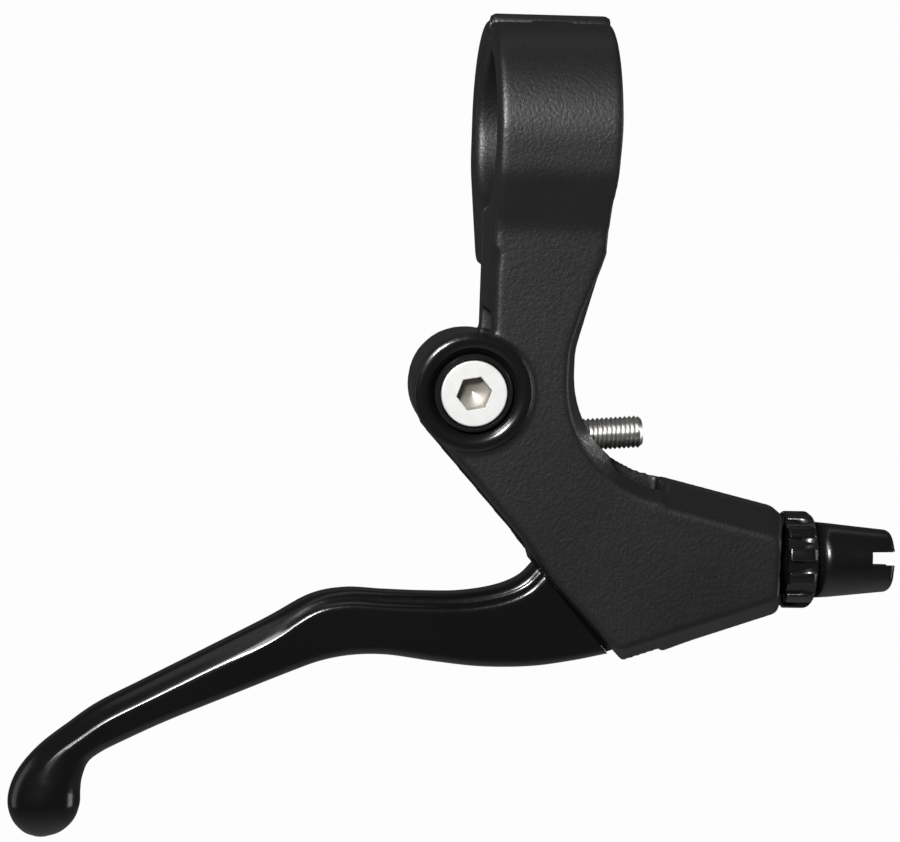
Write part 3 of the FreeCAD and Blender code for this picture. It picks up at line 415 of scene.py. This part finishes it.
def along(table, steps):
    """Rows of numbers, one per station, drawn out evenly by cubic curves that pass through each row.

    Between rows b and c the curve is half of (2 b + (c - a) t + (2a - 5b + 4c - d) t^2 +
    (3b - a - 3c + d) t^3), with a and d the rows before and after them.
    """
    rows = np.array(table, float)
    padded = np.vstack([2 * rows[0] - rows[1], rows, 2 * rows[-1] - rows[-2]])
    at = np.linspace(0, len(rows) - 1, steps)
    cell = np.minimum(at.astype(int), len(rows) - 2)
    t = (at - cell)[:, None]
    a, b, c, d = (padded[cell + k] for k in range(4))
    return 0.5 * (2 * b + (c - a) * t + (2 * a - 5 * b + 4 * c - d) * t**2
                  + (3 * b - a - 3 * c + d) * t**3)


def finger_rings(steps):
    """The blade's rings of points, in metres.

    Each half section is a polygon of nine corners, given by how far they lie below the rail's
    middle and out from the blade's middle plane. They go from the rail round the face to the lower
    edge's middle, and each side is evenly divided. A running mean rounds the corners, and the
    section is mixed with half an ellipse where the tip is round. The other half mirrors it.
    """
    table = along(FINGER, steps)
    upper, lower = table[:, 0:2], table[:, 2:4]
    over, under, rail, step, roundness = (table[:, k] for k in range(4, 9))
    height = np.linalg.norm(lower - upper, axis=1)
    zero = np.zeros_like(height)
    spread = 0.68 + 0.32 * ease(upper[:, 0], *FULL_SPREAD_X)
    corners = np.stack([
        np.stack([zero, zero], -1),
        np.stack([zero, rail], -1),
        np.stack([RAIL_ROUND * spread, rail + RAIL_ROUND], -1),
        np.stack([STEP_FOOT * spread, np.maximum(over / 2 - step, rail + RAIL_ROUND)], -1),
        np.stack([SHOULDER * spread, over / 2], -1),
        np.stack([height - LOWER_ROUND, under / 2], -1),
        np.stack([height - LOWER_MIDDLE, under / 2 - LOWER_INSET], -1),
        np.stack([height, under / 2 - LOWER_FLAT_INSET], -1),
        np.stack([height, zero], -1),
    ], axis=1)
    sides = len(SIDE_POINTS)
    share = np.concatenate([k + np.arange(n) / n for k, n in enumerate(SIDE_POINTS)] + [[sides]])
    cell = np.minimum(share.astype(int), sides - 1)
    part = (share - cell)[None, :, None]
    half = corners[:, cell] * (1 - part) + corners[:, cell + 1] * part
    ring = np.concatenate([half, half[:, -2:0:-1] * (1, -1)], axis=1)
    for _ in range(3):
        ring = 0.25 * np.roll(ring, 1, axis=1) + 0.5 * ring + 0.25 * np.roll(ring, -1, axis=1)
    angle = math.pi * np.concatenate([share / sides, 2 - share[-2:0:-1] / sides])
    thick = over[:, None] + (under - over)[:, None] * (0.5 - 0.5 * np.cos(angle))
    oval = np.stack([height[:, None] * (0.5 - 0.5 * np.cos(angle)), 0.5 * thick * np.sin(angle)], -1)
    ring = ring + (oval - ring) * roundness[:, None, None]
    down = ((lower - upper) / height[:, None])[:, None, :]
    place = upper[:, None, :] + down * ring[:, :, :1]
    return np.stack([place[..., 0], MIDDLE_Y - ring[..., 1], place[..., 1]], -1) / PER_METRE


def crisp(piece, degrees):
    """Shades a piece smooth, but for edges sharper than an angle."""
    piece.data.shade_smooth()
    piece.data.set_sharp_from_angle(angle=math.radians(degrees))
    return piece


blade_paint = painted("blade_paint", (0.0025, 0.0025, 0.0026, 1), 0.2, 0.0009, 0.000004)
finger = skin("finger_blade", finger_rings(RING_COUNT), "blade", blade_paint)
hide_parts("lever_blade")

# The root keeps the solid's hub bore, anchor hole and slot for the cable. Only its finger is cut
# off, along a line that the body's cheeks hide, and the cut is closed.
root = crisp(welded("blade_root", nodes["lever_blade"]), 30)
fitted(root, "blade", blade_paint)
whole = bmesh.new()
whole.from_mesh(root.data)
everything = whole.verts[:] + whole.edges[:] + whole.faces[:]
cut = bmesh.ops.bisect_plane(
    whole, geom=everything, plane_co=ROOT_CUT, plane_no=ROOT_CUT_OUT, clear_outer=True)
rim = [part for part in cut["geom_cut"] if isinstance(part, bmesh.types.BMEdge)]
bmesh.ops.holes_fill(whole, edges=rim)
whole.to_mesh(root.data)
whole.free()

anodised = metal("anodised", (0.003, 0.003, 0.003, 1), 0.26, 0.0)
for name in ("blade_bushing_front", "blade_bushing_rear"):
    refinish(name, anodised)

# Cable anchor: a round brass pin across the blade's root, which holds the cable's end and turns
# in its hole as the blade swings.
refinish("cable_anchor", metal("brass", (0.6, 0.45, 0.2, 1), 0.35))

# Pivot: a bolt with a low round head of bright metal and a hexagon socket, drilled to a cone below
# it. The head lies in a thin black ring in the boss's dish, and a steel nut holds it behind.
SOCKET_TURN = math.radians(10)

# Rows from the shank's end round the head into the socket: depth along Y, radius, and 1 where the
# section is a hexagon of that corner radius.
PIVOT_PROFILE = np.array([
    (2.6, 2.7, 0), (2.3, 3.0, 0), (-13.1, 3.0, 0), (-13.1, 4.6, 0), (-13.2, 4.7, 0),
    (-14.85, 4.7, 0), (-15.0, 4.65, 0), (-15.1, 4.5, 0), (-15.1, 2.66, 1), (-15.0, 2.54, 1),
    (-13.3, 2.5, 1), (-13.3, 2.05, 0), (-12.5, 0.12, 0), (-12.4, 0.05, 0),
])
SOCKET_TOP = -0.01505


def hexagon(angle):
    """How far a hexagon of corner radius 1 reaches at an angle: cos 30 / cos(angle mod 60 - 30)."""
    return math.cos(math.pi / 6) / np.cos(np.mod(angle, math.pi / 3) - math.pi / 6)


# Past SOCKET_TOP the head's socket is painted darker and warmer: painted shade in the recess.
bright = metal("bright", (0.80, 0.80, 0.79, 1), 0.42, 0.6, SOCKET_TOP)
angle = directions(96)
depth, radius, flats = PIVOT_PROFILE.T[:, :, None]
reach = radius * (1 + flats * (hexagon(angle) - 1))
angle = angle + SOCKET_TURN
head_rings = np.stack([
    PIVOT_X + reach * np.cos(angle), depth + 0 * angle, PIVOT_Z + reach * np.sin(angle)], -1)
head = crisp(skin("pivot_head", head_rings / PER_METRE, "body", bright), 30)
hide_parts("pivot_bolt")
refinish("pivot_cup", metal("gloss_black", (0.006, 0.006, 0.006, 1), 0.16, 0.0))
refinish("pivot_nut", steel)

# Reach screw: a steel grub screw with a fine thread, cut all along, and a hexagon socket in its
# outer end. It stands in a tapped hole of the body's bridge, and its inner end stops the blade.
SCREW_END = np.array([14.35, MIDDLE_Y, -42.4])
SCREW_AXIS = np.array(joints["reach_screw_travel"]["axis"])
SCREW_UP = np.array([-SCREW_AXIS[2], 0.0, SCREW_AXIS[0]])
SCREW_LENGTH = 14.5
SCREW_RADIUS = 2.3
SCREW_CHAMFER = 0.5
SCREW_SOCKET_CORNER = 1.44
SCREW_SOCKET_DEPTH = 2.5
THREAD_DEPTH = 0.3
PITCH = 0.66


def thread_rings():
    """The screw's rings of points: the radius falls from crest to root and back once per pitch and
    turn, by how far the place along the axis over the pitch, less the share of a turn, lies from a
    half. Then come the end's rim, the socket's mouth and its floor.
    """
    angle = directions(72)
    at = np.arange(0, SCREW_LENGTH, PITCH / 12)
    phase = np.mod(at[:, None] / PITCH - angle[None, :] / (2 * math.pi), 1)
    wall = np.clip(np.abs(phase - 0.5) * 2.6 - 0.2, 0, 1)
    blunt = SCREW_RADIUS - SCREW_CHAMFER
    reach = np.minimum(SCREW_RADIUS - THREAD_DEPTH * wall, blunt + np.minimum(at, SCREW_LENGTH - at)[:, None])
    corner = SCREW_SOCKET_CORNER * hexagon(angle)
    at = np.concatenate([at, [SCREW_LENGTH, SCREW_LENGTH, SCREW_LENGTH - SCREW_SOCKET_DEPTH]])
    reach = np.vstack([reach, np.full(72, blunt), corner, corner])
    place = SCREW_END + (at - SCREW_LENGTH)[:, None, None] * SCREW_AXIS
    return (place + (reach * np.cos(angle))[..., None] * SCREW_UP
            + (reach * np.sin(angle))[..., None] * np.array([0.0, 1.0, 0.0]))


screw = skin("threaded_screw", thread_rings()[:, ::-1] / PER_METRE, "reach", steel)
crisp(screw, 25)
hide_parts("reach_screw")

# Adjuster: a toothed lock ring and a hollow barrel with a slot for the cable, both of black
# anodised aluminium, screwed into the nose. The ring is a little narrower than its solid, and the
# barrel starts right at it, with its slot a little higher.
CABLE_Z = PER_METRE * joints["barrel_turn"]["pos_m"][2]
RING_START = 35.5
RING_NARROWING = 0.84
BASE_X = 40.95
BASE_EARLIER = 0.9
THREAD_REACH = 5.05
TIP_X = 47.0
SLOT_HIGHER = 0.4
SLOT_HALF_WIDTH = 1.9
SLOT_WALL_OUT = 2.2

ring = crisp(welded("lock_ring", nodes["adjuster_lockring"]), 30)
fitted(ring, "lockring", anodised)
spots = points_of(ring)
spots[:, 0] = RING_START + RING_NARROWING * (spots[:, 0] - RING_START)
move_points(ring, spots)
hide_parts("adjuster_lockring")

barrel = crisp(welded("tuned_barrel", nodes["adjuster_barrel"]), 30)
fitted(barrel, "barrel", anodised)
spots = points_of(barrel)
out, up = spots[:, 1] - MIDDLE_Y, spots[:, 2] - CABLE_Z
spots[:, 0] -= BASE_EARLIER * ((np.abs(spots[:, 0] - BASE_X) < 0.1) & (np.hypot(out, up) > THREAD_REACH))
beside_slot = (np.abs(up) < SLOT_HALF_WIDTH) & (np.abs(out) > SLOT_WALL_OUT)
spots[:, 2] += SLOT_HIGHER * ((spots[:, 0] > TIP_X) & beside_slot)
move_points(barrel, spots)
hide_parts("adjuster_barrel")

# Camera: it stands in front, a little left and above, 0.7 m away, with a long lens. It is turned
# about its own line of sight by two degrees, as the photographer held it.
CAMERA_PLACE = (-0.10296, -0.70693, 0.05781)
CAMERA_RIGHT = (0.99191, -0.12217, 0.03456)
CAMERA_UP = (-0.01694, 0.14240, 0.98966)
CAMERA_BACK = (-0.12583, -0.98224, 0.13917)

camera = bpy.data.objects.new("camera", bpy.data.cameras.new("camera"))
bpy.context.scene.collection.objects.link(camera)
bpy.context.scene.camera = camera
turn = Matrix((CAMERA_RIGHT, CAMERA_UP, CAMERA_BACK)).transposed().to_4x4()
camera.matrix_world = Matrix.Translation(CAMERA_PLACE) @ turn
camera.data.sensor_width = 36
camera.data.lens = 200
camera.data.clip_start = 0.05
camera.data.clip_end = 50

# Studio: a pale floor well below the lever, a dim room whose white shows behind the object, and
# soft boxes: one close to the camera for the body's face, a key light at the upper left, a long one
# overhead for the rims, and weak ones at both sides.
FLOOR_Z = -0.9
FLOOR_HALF = 30
ROOM_LEVEL = 0.06


def soft_box(name, place, aim_z, width, height, power):
    """An area light at a place, its face turned to the bore's axis at height aim_z."""
    lamp = bpy.data.objects.new(name, bpy.data.lights.new(name, "AREA"))
    bpy.context.scene.collection.objects.link(lamp)
    lamp.data.shape = "RECTANGLE"
    lamp.data.size = width
    lamp.data.size_y = height
    lamp.data.energy = power
    lamp.location = place
    gaze = Vector((0, 0, aim_z)) - Vector(place)
    lamp.rotation_euler = gaze.to_track_quat("-Z", "Y").to_euler()


bpy.context.scene.view_settings.view_transform = "Standard"
floor_mesh = bpy.data.meshes.new("floor")
corners = [(FLOOR_HALF * a, FLOOR_HALF * b, FLOOR_Z) for a, b in ((-1, -1), (1, -1), (1, 1), (-1, 1))]
floor_mesh.from_pydata(corners, [], [(0, 1, 2, 3)])
floor = bpy.data.objects.new("floor", floor_mesh)
bpy.context.scene.collection.objects.link(floor)
pale = Finish("pale_floor")
lit = pale.node("ShaderNodeBsdfDiffuse", inputs={"Color": (0.86, 0.86, 0.86, 1)})
glow = pale.node("ShaderNodeEmission", inputs={"Color": (1, 1, 1, 1), "Strength": 1.0})
seen = pale.node("ShaderNodeLightPath", output="Is Camera Ray")
mixed = pale.node("ShaderNodeMixShader", inputs={0: seen * 0.98, 1: lit, 2: glow})
floor_mesh.materials.append(pale.close(mixed))

world = bpy.data.worlds.new("studio")
bpy.context.scene.world = world
air = Finish("studio", world)
seen = air.node("ShaderNodeLightPath", output="Is Camera Ray")
through = air.node("ShaderNodeLightPath", output="Is Transmission Ray")
room = air.node("ShaderNodeBackground", inputs={
    "Color": (1, 1, 1, 1), "Strength": ROOM_LEVEL + (1 - ROOM_LEVEL) * (seen + through)})
air.close(room, "ShaderNodeOutputWorld")

soft_box("front", (-0.17, -0.39, 0.17), -0.02, 0.10, 0.07, 3.8)
soft_box("key", (-0.55, -0.55, 0.60), -0.03, 0.4, 0.4, 5)
soft_box("overhead", (-0.1, 0.15, 0.75), -0.05, 1.2, 0.2, 0.4)
soft_box("left", (-0.8, 0.3, 0.0), -0.04, 0.3, 0.7, 0.5)
soft_box("right", (0.8, 0.0, -0.05), -0.04, 0.3, 0.7, 2)
